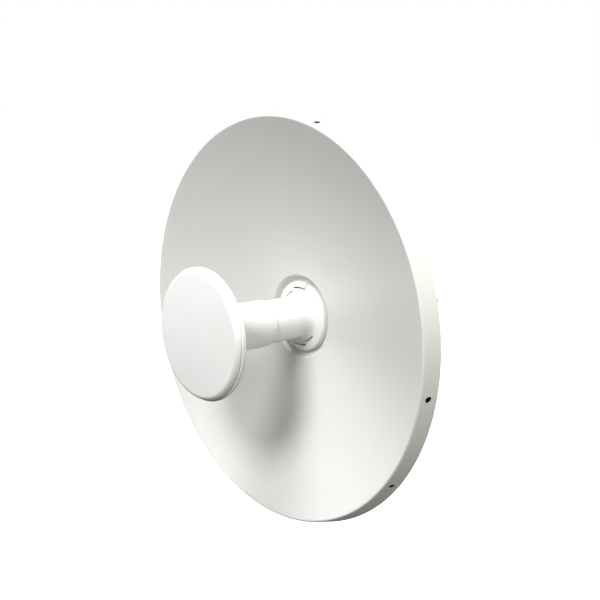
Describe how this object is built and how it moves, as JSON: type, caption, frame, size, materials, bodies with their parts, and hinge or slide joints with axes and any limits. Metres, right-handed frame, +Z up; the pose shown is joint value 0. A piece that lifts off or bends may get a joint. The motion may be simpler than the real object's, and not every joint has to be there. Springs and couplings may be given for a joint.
{
  "type": "point-to-point dish antenna",
  "caption": "Round white parabolic dish with a turned-back rim, a tube feed ending in a flat disc, a snap-in hub collar and a tilting pole clamp behind.",
  "frame": {"origin": "on the axis of the nominal 50 mm pole, at the height of the dish's axis", "axes": "+Z up along the pole; the dish looks along -Y; +X to the right of someone who stands in front of the dish and looks at it along +Y"},
  "size_m": [0.4294, 0.3084, 0.4294],
  "materials": {
    "white_powder_coat": "satin white powder coat on pressed sheet",
    "white_satin_plastic": "satin white moulded plastic",
    "white_gloss_plastic": "glossy white moulded plastic",
    "grey_plastic": "fine textured light grey moulded plastic",
    "black_plastic": "satin black moulded plastic",
    "clear_plastic": "clear polished plastic",
    "black_rubber": "matt black rubber",
    "cast_aluminium": "as cast, lightly grained",
    "galvanised_steel": "hot dip galvanised, faint spangle",
    "stainless_steel": "bright stainless",
    "spun_aluminium": "spun, fine concentric lines",
    "tinned_steel": "bright tinned sheet",
    "circuit_board": "green solder mask on glass epoxy",
    "white_ptfe": "waxy white fluoropolymer"
  },
  "bodies": {
    "pole_bracket_group": {"pole_bracket": "galvanised_steel", "clamp_bolt_left": "stainless_steel", "clamp_bolt_right": "stainless_steel", "pivot_bolt": "stainless_steel", "pivot_nut": "stainless_steel"},
    "clamp": {"clamp_jaw": "galvanised_steel", "clamp_washer_left": "stainless_steel", "clamp_washer_right": "stainless_steel", "clamp_nut_left": "stainless_steel", "clamp_nut_right": "stainless_steel"},
    "dish": {"reflector": "white_powder_coat", "rim_plug_1": "black_rubber", "rim_plug_2": "black_rubber", "rim_plug_3": "black_rubber", "rim_plug_4": "black_rubber", "rim_plug_5": "black_rubber", "rim_plug_6": "black_rubber", "hub_plate": "cast_aluminium", "hub_screw_1": "stainless_steel", "hub_screw_2": "stainless_steel", "hub_screw_3": "stainless_steel", "hub_screw_4": "stainless_steel", "housing_gasket": "black_rubber", "rear_housing": "grey_plastic", "housing_screw_1": "stainless_steel", "housing_screw_2": "stainless_steel", "housing_screw_3": "stainless_steel", "housing_screw_4": "stainless_steel", "light_pipe": "clear_plastic", "cover_seal": "black_rubber", "hinge_pin": "stainless_steel", "ground_washer": "stainless_steel", "ground_screw": "stainless_steel", "lock_bolt_left": "stainless_steel", "lock_bolt_right": "stainless_steel", "lock_washer_left": "stainless_steel", "lock_washer_right": "stainless_steel", "lock_nut_left": "stainless_steel", "lock_nut_right": "stainless_steel"},
    "feed": {"hub_collar": "white_gloss_plastic", "tube_seal": "black_rubber", "feed_tube": "white_satin_plastic", "subreflector_shell": "white_satin_plastic", "radome_cap": "white_satin_plastic", "cap_seal": "black_rubber", "subreflector_plate": "spun_aluminium", "dielectric_post": "white_ptfe", "dipole_board": "circuit_board", "board_carrier": "black_plastic", "radio_board": "circuit_board", "shield_can": "tinned_steel", "ethernet_jack": "tinned_steel", "reset_switch": "black_plastic", "board_screw_front": "stainless_steel", "board_screw_rear": "stainless_steel"},
    "upper_tab": {"latch_tab_upper": "white_gloss_plastic"},
    "lower_tab": {"latch_tab_lower": "white_gloss_plastic"},
    "cover": {"port_cover": "grey_plastic", "cable_grommet": "black_rubber"},
    "button": {"reset_button": "black_plastic"}
  },
  "joints": [
    {"name": "elevation_tilt", "type": "hinge", "parent": "pole_bracket_group", "child": "dish", "pos_m": [0, -0.049, 0], "axis": [1, 0, 0], "range_deg": [-20, 20]},
    {"name": "clamp_slide", "type": "slide", "parent": "pole_bracket_group", "child": "clamp", "axis": [0, 1, 0], "range_m": [-0.0231, 0.0115]},
    {"name": "feed_slide", "type": "slide", "parent": "dish", "child": "feed", "axis": [0, -1, 0], "range_m": [0, 0.1]},
    {"name": "upper_tab_squeeze", "type": "hinge", "parent": "feed", "child": "upper_tab", "pos_m": [-0.02528, -0.115, 0.02121], "axis": [0, 1, 0], "range_deg": [0, 2], "stiffness_Nm_per_rad": 3},
    {"name": "lower_tab_squeeze", "type": "hinge", "parent": "feed", "child": "lower_tab", "pos_m": [0.02528, -0.115, -0.02121], "axis": [0, 1, 0], "range_deg": [0, 2], "stiffness_Nm_per_rad": 3},
    {"name": "cover_hinge", "type": "hinge", "parent": "dish", "child": "cover", "pos_m": [0.00175, -0.1, -0.0394], "axis": [-1, 0, 0], "range_deg": [0, 95]},
    {"name": "reset_press", "type": "slide", "parent": "dish", "child": "button", "axis": [0, 0, 1], "range_m": [0, 0.001], "stiffness_N_per_m": 400}
  ]
}
